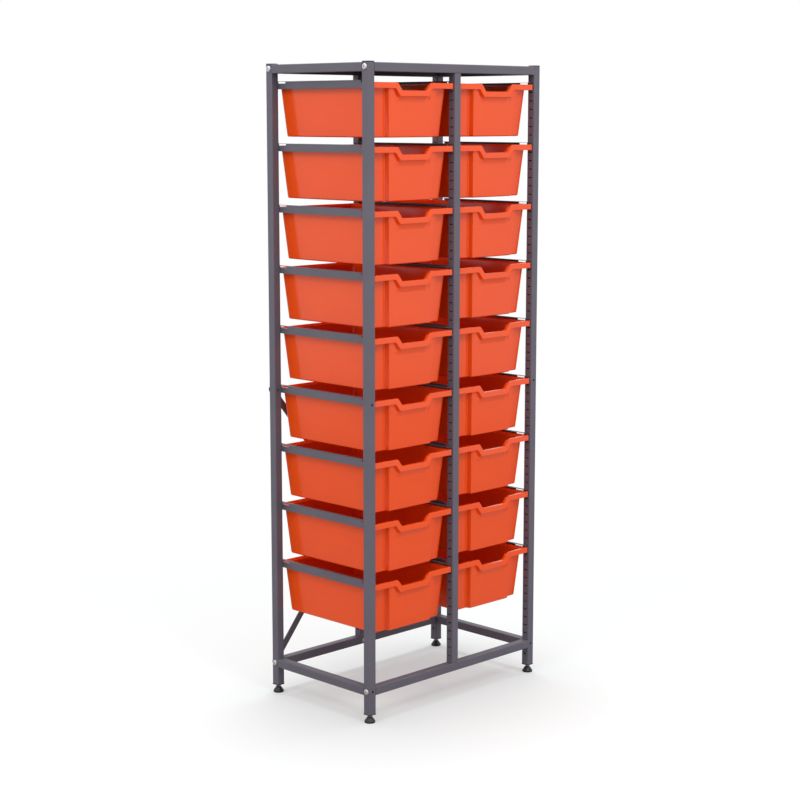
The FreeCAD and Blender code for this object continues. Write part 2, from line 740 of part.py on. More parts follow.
# ---------------------------------------------------------------- fasteners
def bolt_master(name, shank, head_radius, head_height, recess, length):
    """A dome-head bolt: the head stands on z = 0 and the shank hangs below it."""
    body = new_body(name)
    head = sketch_on(body, "XY_Plane", "head")
    add_circle(head, "0", "0", head_radius)
    pad(body, head, head_height)
    top = size(head_height)
    fillet(body, f"sizes.bolt_dome_share * {head_height}",
           lambda edge: edge.BoundBox.ZMin > top - NEAR)
    shaft = sketch_on(body, "XY_Plane", "shaft")
    add_circle(shaft, "0", "0", shank)
    pad(body, shaft, length, reverse=True)
    socket = sketch_on(body, "XY_Plane", "socket", head_height)
    add_circle(socket, "0", "0", recess)
    pocket(body, socket, "sizes.bolt_recess_depth")
    return body


def rail_insert_master():
    """The threaded plug in a rail's end; it reaches down from z = 0."""
    body = new_body("rail_insert")
    section = sketch_on(body, "XY_Plane", "section")
    add_square(section, PLUG_WIDTH)
    add_circle(section, "0", "0", "sizes.bolt_radius")
    pad(body, section, "sizes.rail_insert_depth", reverse=True)
    round_plug_corners(body)
    return body


def spigot_master():
    """Middle post's spigot: a plug in the post above z = 0 and a neck in the rail below it."""
    body = new_body("spigot")
    plug = sketch_on(body, "XY_Plane", "plug")
    add_square(plug, PLUG_WIDTH)
    pad(body, plug, "sizes.spigot_post_depth")
    round_plug_corners(body)
    neck = sketch_on(body, "XY_Plane", "neck")
    add_square(neck, "sizes.spigot_neck")
    pad(body, neck, "sizes.spigot_rail_depth", reverse=True)
    cross = sketch_on(body, "XZ_Plane", "cross")
    add_circle(cross, "0", f"-{TUBE} / 2", "sizes.small_bolt_radius")
    pocket(body, cross)
    return body


def make_fasteners():
    outward = {-1: FreeCAD.Rotation(Y_AXIS, -QUARTER), 1: FreeCAD.Rotation(Y_AXIS, QUARTER)}
    to_back = FreeCAD.Rotation(X_AXIS, -QUARTER)
    to_front = FreeCAD.Rotation(X_AXIS, QUARTER)
    upside_down = FreeCAD.Rotation(X_AXIS, 2 * QUARTER)

    rail_ends = [(side, y, z) for _, side in SIDES for y in (FRONT_Y, BACK_Y)
                 for z in (BOTTOM_RAIL_Z, TOP_RAIL_Z)]
    bolt = bolt_master("bolt", "sizes.bolt_radius", "sizes.bolt_head_radius",
                       "sizes.bolt_head_height", "sizes.bolt_recess_radius",
                       f"{TUBE} + sizes.rail_insert_depth - sizes.bolt_tip_cover")
    group("frame_bolts", bolt,
          [spot(f"{side} * {HALF_WIDTH}", y, z, outward[side]) for side, y, z in rail_ends])
    group("rail_end_inserts", rail_insert_master(),
          [spot(f"{side} * {RAIL_SPAN} / 2", y, z, outward[side]) for side, y, z in rail_ends])

    spigot_places = []
    small_places = []
    for y, inward, inner_face in ((FRONT_Y, to_back, f"{FRONT_FACE} + {TUBE}"),
                                  (BACK_Y, to_front, f"{BACK_FACE} - {TUBE}")):
        spigot_places.append(spot("0", y, MIDDLE_POST_FOOT))
        spigot_places.append(spot("0", y, f"{POST_TOP} - {TUBE}", upside_down))
        small_places.append(spot("0", inner_face, BOTTOM_RAIL_Z, inward))
        small_places.append(spot("0", inner_face, TOP_RAIL_Z, inward))
    group("middle_post_spigots", spigot_master(), spigot_places)
    small = bolt_master("small_bolt", "sizes.small_bolt_radius", "sizes.small_head_radius",
                        "sizes.small_head_height", "sizes.small_recess_radius",
                        "sizes.small_bolt_length")
    group("middle_post_bolts", small, small_places)


# ---------------------------------------------------------------- braces
BRACE_HOLE = "(sizes.brace_screw_radius + sizes.brace_screw_clearance)"
BRACE_MIDDLE = f"({BOTTOM_RAIL_Z} + sizes.post_hole_rise / 2)"
BRACE_HOLE_SPACING = (f"sqrt(4 * {POST_X} * {POST_X}"
                      " + sizes.post_hole_rise * sizes.post_hole_rise)")


def brace_bar(name, lean, y):
    """A flat bar with round ends, drilled at both ends and at its middle."""
    body = new_body(name)
    half = f"({BRACE_HOLE_SPACING} / 2)"
    strip = sketch_on(body, "XY_Plane", "strip")
    add_box(strip, f"-{half}", half, "-sizes.brace_width / 2", "sizes.brace_width / 2")
    pad(body, strip, "sizes.brace_thickness")
    for end in (f"-{half}", half):
        round_end = sketch_on(body, "XY_Plane", "round_end")
        add_circle(round_end, end, "0", "sizes.brace_width / 2")
        pad(body, round_end, "sizes.brace_thickness")
    holes = sketch_on(body, "XY_Plane", "holes")
    for centre in (f"-{half}", "0", half):
        add_circle(holes, centre, "0", BRACE_HOLE)
    pocket(body, holes)
    angle = math.degrees(math.atan2(size("sizes.post_hole_rise"), 2 * size(POST_X)))
    turn = FreeCAD.Rotation(Y_AXIS, -lean * angle).multiply(FreeCAD.Rotation(X_AXIS, -QUARTER))
    place(body, "0", y, BRACE_MIDDLE, turn)
    keep(name, body)


def spacer_master():
    """A round spacer that stands on z = 0."""
    body = new_body("spacer")
    ring = sketch_on(body, "XY_Plane", "ring")
    add_circle(ring, "0", "0", "sizes.brace_spacer_radius")
    add_circle(ring, "0", "0", BRACE_HOLE)
    pad(body, ring, "sizes.brace_thickness")
    return body


def make_braces():
    outer_bar_y = f"({BACK_FACE} + sizes.brace_thickness)"
    outer_face = f"({BACK_FACE} + 2 * sizes.brace_thickness)"
    to_back = FreeCAD.Rotation(X_AXIS, -QUARTER)
    low = BOTTOM_RAIL_Z
    high = f"({BOTTOM_RAIL_Z} + sizes.post_hole_rise)"
    brace_bar("brace_bar_rising", 1, BACK_FACE)
    brace_bar("brace_bar_falling", -1, outer_bar_y)

    # The rising bar lies on the posts. The falling bar crosses over it, so spacers carry the
    # falling bar at its ends, and spacers on top of the rising bar bring its screws level.
    falling_ends = ((f"-{POST_X}", high), (POST_X, low))
    rising_ends = ((f"-{POST_X}", low), (POST_X, high))
    spacers = [spot(x, BACK_FACE, z, to_back) for x, z in falling_ends]
    spacers += [spot(x, outer_bar_y, z, to_back) for x, z in rising_ends]
    group("brace_spacers", spacer_master(), spacers)

    screw = bolt_master("brace_screw", "sizes.brace_screw_radius", "sizes.brace_head_radius",
                        "sizes.brace_head_height", "sizes.small_recess_radius",
                        "2 * sizes.brace_thickness + sizes.brace_screw_reach")
    rivet = bolt_master("crossing_rivet", "sizes.brace_screw_radius", "sizes.brace_head_radius",
                        "sizes.brace_head_height", "sizes.small_recess_radius",
                        "2 * sizes.brace_thickness")
    screws = DOC.addObject("Part::Feature", "brace_screws")
    copies = []
    for x, z in falling_ends + rising_ends:
        copy = screw.Shape.copy()
        copy.Placement = spot(x, outer_face, z, to_back)
        copies.append(copy)
    crossing = rivet.Shape.copy()
    crossing.Placement = spot("0", outer_face, BRACE_MIDDLE, to_back)
    screws.Shape = Part.makeCompound(copies + [crossing])
    keep("brace_screws", screws)


# ---------------------------------------------------------------- check and write
def check_document():
    DOC.recompute()
    for item in DOC.Objects:
        if "Invalid" in item.State or "Error" in item.State:
            raise RuntimeError(f"{item.Label} failed: {item.State}")
    for name, item in NODES.items():
        if item.Shape.isNull() or not item.Shape.isValid():
            raise RuntimeError(f"{name} has no valid shape")


def write_parts():
    os.makedirs("parts", exist_ok=True)
    for name, item in NODES.items():
        item.Shape.exportStep(f"parts/{name}.step")
        print(name, len(item.Shape.Solids), round(item.Shape.Volume, 1))


make_frame()
make_top_panel()
make_runners()
make_trays()
make_feet_and_caps()
make_fasteners()
make_braces()
check_document()
write_parts()
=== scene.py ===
import json
import math

import bmesh
import bpy
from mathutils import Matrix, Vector


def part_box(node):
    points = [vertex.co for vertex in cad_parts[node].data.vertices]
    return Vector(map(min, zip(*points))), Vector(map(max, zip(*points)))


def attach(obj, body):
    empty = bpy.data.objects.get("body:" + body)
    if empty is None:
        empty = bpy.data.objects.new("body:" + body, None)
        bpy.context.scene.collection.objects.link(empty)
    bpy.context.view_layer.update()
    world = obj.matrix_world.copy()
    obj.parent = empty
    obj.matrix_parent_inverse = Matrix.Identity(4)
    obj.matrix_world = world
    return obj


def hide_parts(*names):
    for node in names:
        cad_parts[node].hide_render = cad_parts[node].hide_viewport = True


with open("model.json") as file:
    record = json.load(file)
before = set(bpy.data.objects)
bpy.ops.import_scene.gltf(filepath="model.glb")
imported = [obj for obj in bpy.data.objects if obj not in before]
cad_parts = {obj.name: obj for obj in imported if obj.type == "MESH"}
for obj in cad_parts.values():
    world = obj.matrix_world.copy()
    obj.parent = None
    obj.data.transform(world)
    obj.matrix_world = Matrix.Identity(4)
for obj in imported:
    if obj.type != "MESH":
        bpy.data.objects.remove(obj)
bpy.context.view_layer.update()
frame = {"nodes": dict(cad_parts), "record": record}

# Looks of the classroom tray storage unit. The frame, runners and fasteners are the construction's own
# parts with better finishes. The trays are detailed shells that stand where the plain trays stand.
# Metres, +Z up, the tray fronts face -Y. Sizes of the tray shell are in millimetres, times MM.

MM = 0.001

ROWS = range(1, 10)
COLUMNS = ("left", "right")
QUARTER_TURN = math.pi / 2


# ---------------------------------------------------------------- materials
def new_material(name, colour, roughness, **sockets):
    """A Principled material; returns it with its node tree's nodes, links and shader."""
    material = bpy.data.materials.new(name)
    material.use_nodes = True
    nodes, links = material.node_tree.nodes, material.node_tree.links
    shader = nodes["Principled BSDF"]
    shader.inputs["Base Color"].default_value = (*colour, 1)
    shader.inputs["Roughness"].default_value = roughness
    for socket, value in sockets.items():
        shader.inputs[socket.replace("_", " ")].default_value = value
    return material, nodes, links, shader


def add_noise(nodes, links, scale, detail=3.0, stretch=(1, 1, 1)):
    """Noise over the object's own coordinates; scale is in features per metre."""
    coordinates = nodes.new("ShaderNodeTexCoord")
    mapping = nodes.new("ShaderNodeMapping")
    mapping.inputs["Scale"].default_value = stretch
    noise = nodes.new("ShaderNodeTexNoise")
    noise.inputs["Scale"].default_value = scale
    noise.inputs["Detail"].default_value = detail
    links.new(coordinates.outputs["Object"], mapping.inputs["Vector"])
    links.new(mapping.outputs["Vector"], noise.inputs["Vector"])
    return noise.outputs["Fac"]


NOISE_LOW = 0.35
NOISE_HIGH = 0.65


def vary_colour(nodes, links, shader, factor, dark, light):
    """Base colour that drifts between two near tones, over the range that noise really covers."""
    ramp = nodes.new("ShaderNodeValToRGB")
    low, high = ramp.color_ramp.elements
    low.position = NOISE_LOW
    high.position = NOISE_HIGH
    low.color = (*dark, 1)
    high.color = (*light, 1)
    links.new(factor, ramp.inputs["Fac"])
    links.new(ramp.outputs["Color"], shader.inputs["Base Color"])


def vary_roughness(nodes, links, shader, factor, low, high):
    """Roughness that follows a noise between two values."""
    spread = nodes.new("ShaderNodeMapRange")
    spread.inputs["To Min"].default_value = low
    spread.inputs["To Max"].default_value = high
    links.new(factor, spread.inputs["Value"])
    links.new(spread.outputs["Result"], shader.inputs["Roughness"])


def add_bump(nodes, links, shader, height, strength, distance):
    """A fine relief on the surface; distance is in metres."""
    bump = nodes.new("ShaderNodeBump")
    bump.inputs["Strength"].default_value = strength
    bump.inputs["Distance"].default_value = distance
    links.new(height, bump.inputs["Height"])
    links.new(bump.outputs["Normal"], shader.inputs["Normal"])


def shade_of(colour, share):
    return tuple(channel * share for channel in colour)


def powder_coat(name, colour, roughness):
    """Matt powder-coated steel: a fine orange-peel skin and a faint drift of tone."""
    material, nodes, links, shader = new_material(name, colour, roughness)
    drift = add_noise(nodes, links, scale=9)
    vary_colour(nodes, links, shader, drift, dark=shade_of(colour, 0.95), light=shade_of(colour, 1.04))
    skin = add_noise(nodes, links, scale=1100, detail=2.0)
    vary_roughness(nodes, links, shader, skin, low=roughness - 0.06, high=roughness + 0.06)
    add_bump(nodes, links, shader, skin, strength=0.25, distance=0.15 * MM)
    return material


def moulded_plastic(name, colour, roughness, drift_share):
    """Injection-moulded plastic: glossy, with a hint of spark texture and of flow in its colour."""
    material, nodes, links, shader = new_material(name, colour, roughness, IOR=1.5)
    flow = add_noise(nodes, links, scale=7, detail=2.0, stretch=(1, 1, 2.5))
    dark, light = shade_of(colour, 1 - drift_share), shade_of(colour, 1 + drift_share)
    vary_colour(nodes, links, shader, flow, dark, light)
    skin = add_noise(nodes, links, scale=700, detail=2.0)
    vary_roughness(nodes, links, shader, skin, low=roughness - 0.04, high=roughness + 0.04)
    add_bump(nodes, links, shader, skin, strength=0.1, distance=0.08 * MM)
    return material


def plated_metal(name, colour, roughness):
    """Dull zinc plate with a fine grain."""
    material, nodes, links, shader = new_material(name, colour, roughness, Metallic=1.0)
    grain = add_noise(nodes, links, scale=900)
    vary_roughness(nodes, links, shader, grain, low=roughness - 0.08, high=roughness + 0.1)
    add_bump(nodes, links, shader, grain, strength=0.15, distance=0.05 * MM)
    return material


FRAME_GREY = (0.124, 0.113, 0.145)
RUNNER_GREY = (0.117, 0.108, 0.137)
TRAY_ORANGE = (0.98, 0.088, 0.006)
CAP_BLACK = (0.012, 0.012, 0.012)
ZINC = (0.62, 0.62, 0.64)

FINISHES = {
    "frame_paint": powder_coat("frame_paint", FRAME_GREY, roughness=0.52),
    "runner_paint": powder_coat("runner_paint", RUNNER_GREY, roughness=0.48),
    "tray_plastic": moulded_plastic("tray_plastic", TRAY_ORANGE, roughness=0.15, drift_share=0.015),
    "black_plastic": moulded_plastic("black_plastic", CAP_BLACK, roughness=0.42, drift_share=0.04),
    "plated_steel": plated_metal("plated_steel", ZINC, roughness=0.52),
}


def finish_nodes():
    """Give every carried-over node the finish of its slot in the record."""
    for entry in frame["record"]["subparts"]:
        slots = frame["nodes"][entry["node"]].data.materials
        slots.clear()
        slots.append(FINISHES[entry["material_slot"]])


# ---------------------------------------------------------------- the tray shell
# Local millimetres: x from the tray's middle, y back from the front lip, z up from the rim.
TRAY_HALF = 156.0
TRAY_DEPTH = 413.0
TRAY_HEIGHT = 150.0
RIM_SHEET = 2.0
WALL = 2.0
FLOOR = 2.5
FRONT_DRAFT = 5.0
SIDE_DRAFT = 5.0
TUB_HALF = TRAY_HALF - 11.0
TUB_BACK = TRAY_DEPTH - 11.0
TUB_CORNER = 9.0
BOTTOM_RADIUS = 4.0
CORNER_WALL_Y = 17.5
PANEL_Y = 4.8
PANEL_EDGE = 96.0
PANEL_SLANT = 5.0
PANEL_WALL = 3.8
PANEL_BEND = 0.5
ROOT_BEND = 1.8
RIM_CORNER = 4.0
EDGE_RADIUS = 1.1
LIP_RADIUS = 0.8
SIDE_SKIRT = 14.7
FRONT_LIP = 16.0
RIM_FLAT_SIDE = 6.5
RIM_FLAT_CORNER = 9.0
RIM_FLAT_PANEL = 5.0
SHELF_DROP = 5.0
DIP_TOP = 64.5
DIP_BOTTOM = 47.5
DIP_DEPTH = 21.5
DIP_BAND = 16.0
GRIP_TOP = 87.0
GRIP_BOTTOM = 60.0
GRIP_DROP = 16.0
GRIP_END_RISE = 2.0
GROOVE = 2.6
DIP_WALL_Y = 10.5
DIP_WALL_DROP = 1.6
DIP_SHELF_DROP = 1.0
BELOW_DIP = 46.0
UNDER_EDGE_STEP = 1.4
UNDER_RISER_STEP = 0.2
UNDER_RISER_DROP = 2.0
SMALLEST_CORNER = 3.0
SMALLEST_RIM_CORNER = 1.0
ARC_STEPS = 4
SIDE_STEPS = 3


def turn(before, corner, after, reach, steps=ARC_STEPS):
    """A smooth bend round a corner, touching both of its legs at reach from the corner."""
    corner = Vector(corner)
    first = (Vector(before) - corner).normalized() * reach
    second = (Vector(after) - corner).normalized() * reach
    points = []
    for step in range(steps + 1):
        angle = QUARTER_TURN * step / steps
        points.append(corner + first * (1 - math.sin(angle)) + second * (1 - math.cos(angle)))
    return points


def between(a, b, shares):
    """Points on the way from a to b, at the given shares of the way."""
    return [Vector(a).lerp(Vector(b), share) for share in shares]


def dip_contour(low, high, low_bend, high_bend):
    """Half of a dip's outline, from the middle out to the panel's edge, as (x, z) points.

    It runs level to low, up the slope to high, and level again.
    """
    middle, end = (0, low[1]), (PANEL_EDGE, high[1])
    points = between(middle, low, (0, 0.45, 0.9 - low_bend / low[0]))
    points += turn(middle, low, high, low_bend)
    points += between(low, high, SLOPE_SHARES)
    points += turn(low, high, end, high_bend)
    points += between(high, end, (0.5, 0.85))
    return points


# How many of a contour's points lie on its level middle, on one bend, and on its level end.
MIDDLE_STATIONS = 3
BEND_STATIONS = ARC_STEPS + 1
END_STATIONS = 2
SLOPE_RUN = DIP_TOP - DIP_BOTTOM
SLOPE = math.hypot(SLOPE_RUN, DIP_DEPTH)
BAND_BOTTOM = DIP_BOTTOM + DIP_BAND * (SLOPE - SLOPE_RUN) / DIP_DEPTH
BAND_TOP = DIP_TOP + (DIP_BAND * SLOPE - FRONT_LIP * SLOPE_RUN) / DIP_DEPTH
SHELF_MEETS_SLOPE = 1 - SHELF_DROP / DIP_DEPTH
SLOPE_SHARES = (0.5, SHELF_MEETS_SLOPE - 0.02, SHELF_MEETS_SLOPE)
BAND_LOW = -DIP_DEPTH - DIP_BAND
UPPER = dip_contour((DIP_BOTTOM, -DIP_DEPTH), (DIP_TOP, 0), low_bend=3.0, high_bend=3.0)
LOWER = dip_contour((BAND_BOTTOM, BAND_LOW), (BAND_TOP, -FRONT_LIP), low_bend=4.5, high_bend=4.5)
GRIP = dip_contour((GRIP_BOTTOM, BAND_LOW - GRIP_DROP), (GRIP_TOP, -FRONT_LIP + GRIP_END_RISE),
                   low_bend=9.0, high_bend=4.0)
PANEL_STATIONS = len(UPPER)
LAST_DIP_STATION = MIDDLE_STATIONS + BEND_STATIONS + 1
LAST_GRIP_STATION = PANEL_STATIONS - END_STATIONS - 1
FRONT_STATIONS = PANEL_STATIONS + 3 * BEND_STATIONS - 2
# From the band back to the panel, as (share of the way out, share of the way back, depth below it):
# a fairing that runs out softly under the dip, and a steep wall with a narrow groove beside it.
FAIRING = ((0.25, 0.35, 0), (0.5, 0.62, 0), (0.75, 0.85, 0), (1, 1, 0))
SIDE_WALL = ((0.14, 0.8, 0), (0.28, 1, GROOVE), (0.5, 1, 0), (1, 1, 0))


def plan(panel_y, corner_y, side, back, edge, corner):
    """Right half of a ring's plan: (x, y) points from the front's middle to the back's middle."""
    scale = edge / PANEL_EDGE
    root = edge + PANEL_SLANT
    points = [Vector((place.x * scale, panel_y)) for place in GRIP]
    points += turn((0, panel_y), (edge, panel_y), (root, corner_y), PANEL_BEND)
    points += turn((edge, panel_y), (root, corner_y), (side, corner_y), ROOT_BEND)
    points += turn((root, corner_y), (side, corner_y), (side, back), corner)
    sides = (step / (SIDE_STEPS + 1) for step in range(1, SIDE_STEPS + 1))
    points += between((side, corner_y + corner), (side, back - corner), sides)
    points += turn((side, corner_y), (side, back), (0, back), corner)
    points.append(Vector((0, back)))
    return points


def wall_ring(z, inset, panel_inset, corner):
    """A ring of the tub's wall at height z, moved inwards from its outer face by inset."""
    front_lean = -z * math.tan(math.radians(FRONT_DRAFT))
    side_lean = -z * math.tan(math.radians(SIDE_DRAFT))
    ring = plan(PANEL_Y + front_lean + panel_inset, CORNER_WALL_Y + front_lean + inset,
                TUB_HALF - side_lean - inset, TUB_BACK - side_lean - inset,
                PANEL_EDGE - side_lean - inset, corner)
    return [Vector((x, y, z)) for x, y in ring]


def rim_ring(inset, z):
    """A ring round the rim's outer edge; its height follows the lip's outlines at the front."""
    ring = plan(inset, inset, TRAY_HALF - inset, TRAY_DEPTH - inset, PANEL_EDGE,
                max(RIM_CORNER - inset, SMALLEST_RIM_CORNER))
    return [Vector((x, y, z)) for x, y in ring]


def follow(ring, contour, rise):
    """Set a ring's stations at the front on a contour of the lip, raised by rise."""
    for station, (x, z) in enumerate(contour):
        ring[station].x = x
        ring[station].z = z + rise
    return ring


def rim_top(inset, rise):
    """A ring at the rim's top edge; rise is zero or negative, measured from the rim's face."""
    return follow(rim_ring(inset, rise), UPPER, rise)


def skirt_bottom(inset, rise):
    """A ring at the skirt's lower edge, which is lower at the front than along the sides."""
    ring = rim_ring(inset, -SIDE_SKIRT + rise)
    for point in ring[:FRONT_STATIONS]:
        point.z = -FRONT_LIP + rise
    return follow(ring, LOWER, rise)


def inner_rim(z_rise, spread):
    """The rim's inner edge (z_rise 0) and the ring under it, spread outwards by spread."""
    ring = plan(RIM_FLAT_PANEL - spread, RIM_FLAT_CORNER - spread, TRAY_HALF - RIM_FLAT_SIDE + spread,
                TRAY_DEPTH - RIM_FLAT_SIDE + spread, PANEL_EDGE, RIM_CORNER + 1)
    return [Vector((x, y, z_rise)) for x, y in ring]


def inside_rings():
    """The inside, from the floor's edge up the wall and over the shelf to the rim's inner edge."""
    corner = TUB_CORNER - WALL
    floor_z = -TRAY_HEIGHT + FLOOR
    radius = BOTTOM_RADIUS - 1
    rings = []
    for step in range(ARC_STEPS + 1):
        angle = QUARTER_TURN * step / ARC_STEPS
        inset = radius * (1 - math.sin(angle))
        rings.append(wall_ring(floor_z + radius * (1 - math.cos(angle)), WALL + inset,
                               PANEL_WALL + inset, max(corner - inset, SMALLEST_CORNER)))
    rings.append(wall_ring(-BELOW_DIP, WALL, PANEL_WALL, corner))

    wall_top = wall_ring(-SHELF_DROP, WALL, PANEL_WALL, corner)
    shelf = inner_rim(-SHELF_DROP, 0)
    edge_low = inner_rim(-EDGE_RADIUS / 2, 0)
    edge_top = inner_rim(0, EDGE_RADIUS / 2)
    drops = (DIP_WALL_DROP, DIP_SHELF_DROP, EDGE_RADIUS / 2, 0)
    for ring, drop in zip((wall_top, shelf, edge_low, edge_top), drops):
        for station, (x, z) in enumerate(UPPER):
            ring[station].x = x
            if station <= LAST_DIP_STATION:
                ring[station].y = DIP_WALL_Y - (EDGE_RADIUS / 2 if ring is edge_top else 0)
                ring[station].z = z - drop
            elif ring is edge_low or ring is edge_top:
                ring[station].z = max(z - drop, -SHELF_DROP)
    return rings + [wall_top, shelf, edge_low, edge_top]


def rim_rings():
    """The rim's rounded outer edge and the skirt's rounded lower edge."""
    rings = []
    for step in range(ARC_STEPS):
        angle = QUARTER_TURN * step / (ARC_STEPS - 1)
        rings.append(rim_top(EDGE_RADIUS * (1 - math.sin(angle)), -EDGE_RADIUS * (1 - math.cos(angle))))
    half_sheet = RIM_SHEET / 2
    for step in range(ARC_STEPS + 1):
        angle = math.pi * step / ARC_STEPS
        rings.append(skirt_bottom(half_sheet - half_sheet * math.cos(angle),
                                  LIP_RADIUS - LIP_RADIUS * math.sin(angle)))
    return rings


def under_rim_rings():
    """Under the rim, from the skirt back to the tub's wall, with the grip behind the dip."""
    under_rim = rim_ring(RIM_SHEET, -RIM_SHEET)
    under_edge = inner_rim(-RIM_SHEET, WALL)
    under_riser = inner_rim(-SHELF_DROP - RIM_SHEET, WALL)
    wall_head = wall_ring(-SHELF_DROP - RIM_SHEET, 0, 0, TUB_CORNER)
    rings = [under_rim, under_edge, under_riser, wall_head]
    lean = math.tan(math.radians(FRONT_DRAFT))
    for station in range(PANEL_STATIONS):
        x, z = GRIP[station]
        foot = Vector((x, PANEL_Y - z * lean, z))
        lip = Vector((LOWER[station].x, RIM_SHEET, LOWER[station].y + LIP_RADIUS))
        if station <= LAST_GRIP_STATION:
            side = min(max((station - MIDDLE_STATIONS) / ARC_STEPS, 0), 1)
            for ring, fairing, wall in zip(rings, FAIRING, SIDE_WALL):
                out, back, depth = Vector(fairing).lerp(Vector(wall), side)
                ring[station] = lip.lerp(foot, out)
                ring[station].y = lip.y + (foot.y - lip.y) * back + depth
        else:
            under_edge[station].y = PANEL_Y - UNDER_EDGE_STEP
            under_riser[station].y = PANEL_Y - UNDER_RISER_STEP
            under_riser[station].z = -RIM_SHEET - UNDER_RISER_DROP
    for station in range(PANEL_STATIONS, PANEL_STATIONS + BEND_STATIONS):
        under_edge[station].y = min(under_edge[station].y, PANEL_Y - UNDER_EDGE_STEP)
        under_riser[station].y = min(under_riser[station].y, PANEL_Y - UNDER_RISER_STEP)
    return rings


def outside_rings():
    """The outside wall, from below the dip down to the underside's edge."""
    rings = [wall_ring(-BELOW_DIP, 0, 0, TUB_CORNER)]
    for step in range(ARC_STEPS + 1):
        angle = QUARTER_TURN * step / ARC_STEPS
        inset = BOTTOM_RADIUS * (1 - math.cos(angle))
        rings.append(wall_ring(-TRAY_HEIGHT + BOTTOM_RADIUS * (1 - math.sin(angle)), inset, inset,
                               TUB_CORNER - inset))
    return rings


def build_rings():
    """All rings of the shell, from the inside floor over the rim to the outside floor."""
    return inside_rings() + rim_rings() + under_rim_rings() + outside_rings()


def mirrored(half):
    """A whole ring from its right half: the two middle stations are shared."""
    left = [Vector((-point.x, point.y, point.z)) for point in reversed(half[1:-1])]
    return half + left


MERGE_DISTANCE = 0.02
SHORTEST_EDGE = 0.01
SHARP_ANGLE = 24.0


def tray_mesh():
    """One closed shell skinned over the rings, for all of the trays."""
    rings = [mirrored(half) for half in build_rings()]
    shell = bmesh.new()
    rows = [[shell.verts.new(point * MM) for point in ring] for ring in rings]
    count = len(rows[0])
    for lower, upper in zip(rows, rows[1:]):
        for station in range(count):
            following = (station + 1) % count
            shell.faces.new((lower[station], lower[following], upper[following], upper[station]))
    shell.faces.new(reversed(rows[0]))
    shell.faces.new(rows[-1])
    bmesh.ops.remove_doubles(shell, verts=shell.verts, dist=MERGE_DISTANCE * MM)
    bmesh.ops.dissolve_degenerate(shell, edges=shell.edges, dist=SHORTEST_EDGE * MM)
    bmesh.ops.recalc_face_normals(shell, faces=shell.faces)
    mesh = bpy.data.meshes.new("tray_shell")
    shell.to_mesh(mesh)
    shell.free()
    for polygon in mesh.polygons:
        polygon.use_smooth = True
    mesh.set_sharp_from_angle(angle=math.radians(SHARP_ANGLE))
    mesh.materials.append(FINISHES["tray_plastic"])
    return with_weighted_normals(mesh)


def with_weighted_normals(mesh):
    """The mesh with normals weighted by face area, so that flats stay flat beside small bends."""
    carrier = bpy.data.objects.new("carrier", mesh)
    bpy.context.scene.collection.objects.link(carrier)
    modifier = carrier.modifiers.new("weighted", "WEIGHTED_NORMAL")
    modifier.keep_sharp = True
    depsgraph = bpy.context.evaluated_depsgraph_get()
    result = bpy.data.meshes.new_from_object(carrier.evaluated_get(depsgraph))
    bpy.data.objects.remove(carrier)
    return result


def place_trays():
    """Stand the shell in each tray's place, on that tray's own body."""
    mesh = tray_mesh()
    for column in COLUMNS:
        for row in ROWS:
            node = f"tray_{column}_{row}"
            low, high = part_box(node)
            shell = bpy.data.objects.new(f"tray_shell_{column}_{row}", mesh)
            bpy.context.scene.collection.objects.link(shell)
            shell.location = ((low.x + high.x) / 2, low.y, high.z)
            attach(shell, node)
            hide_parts(node)


# ---------------------------------------------------------------- studio
FLOOR_SIZE = 60.0
FLOOR_WHITE = 0.46
FLOOR_RED_SHARE = 0.965
FLOOR_GLOW = 0.34
FLOOR_BOUNCE = 0.33
SEEN_FADE = (1.1, 2.0)
MIRROR_FADE = (2.0, 5.0)
SKY_STRENGTH = 0.95


def calculated(nodes, links, operation, first, second):
    """The output of a Math node with two inputs."""
    node = nodes.new("ShaderNodeMath")
    node.operation = operation
    links.new(first, node.inputs[0])
    links.new(second, node.inputs[1])
    return node.outputs[0]


def mixed(nodes, links, factor, first, second):
    """The output of a Mix Shader: first at factor 0, second at factor 1."""
    mix = nodes.new("ShaderNodeMixShader")
    links.new(factor, mix.inputs[0])
    links.new(first, mix.inputs[1])
    links.new(second, mix.inputs[2])
    return mix.outputs[0]


def diffuse(nodes, red, green, blue):
    shader = nodes.new("ShaderNodeBsdfDiffuse")
    shader.inputs["Color"].default_value = (red, green, blue, 1)
    return shader.outputs[0]


def emission(nodes, strength):
    shader = nodes.new("ShaderNodeEmission")
    shader.inputs["Strength"].default_value = strength
    return shader.outputs[0]


def fade_outwards(nodes, links, start, end):
    """0 near the middle of the floor, 1 beyond end, both distances in metres."""
    coordinates = nodes.new("ShaderNodeTexCoord")
    distance = nodes.new("ShaderNodeVectorMath")
    distance.operation = "LENGTH"
    fade = nodes.new("ShaderNodeMapRange")
    fade.interpolation_type = "SMOOTHSTEP"
    fade.inputs["From Min"].default_value = start
    fade.inputs["From Max"].default_value = end
    links.new(coordinates.outputs["Object"], distance.inputs[0])
    links.new(distance.outputs["Value"], fade.inputs["Value"])
    return fade.outputs["Result"]


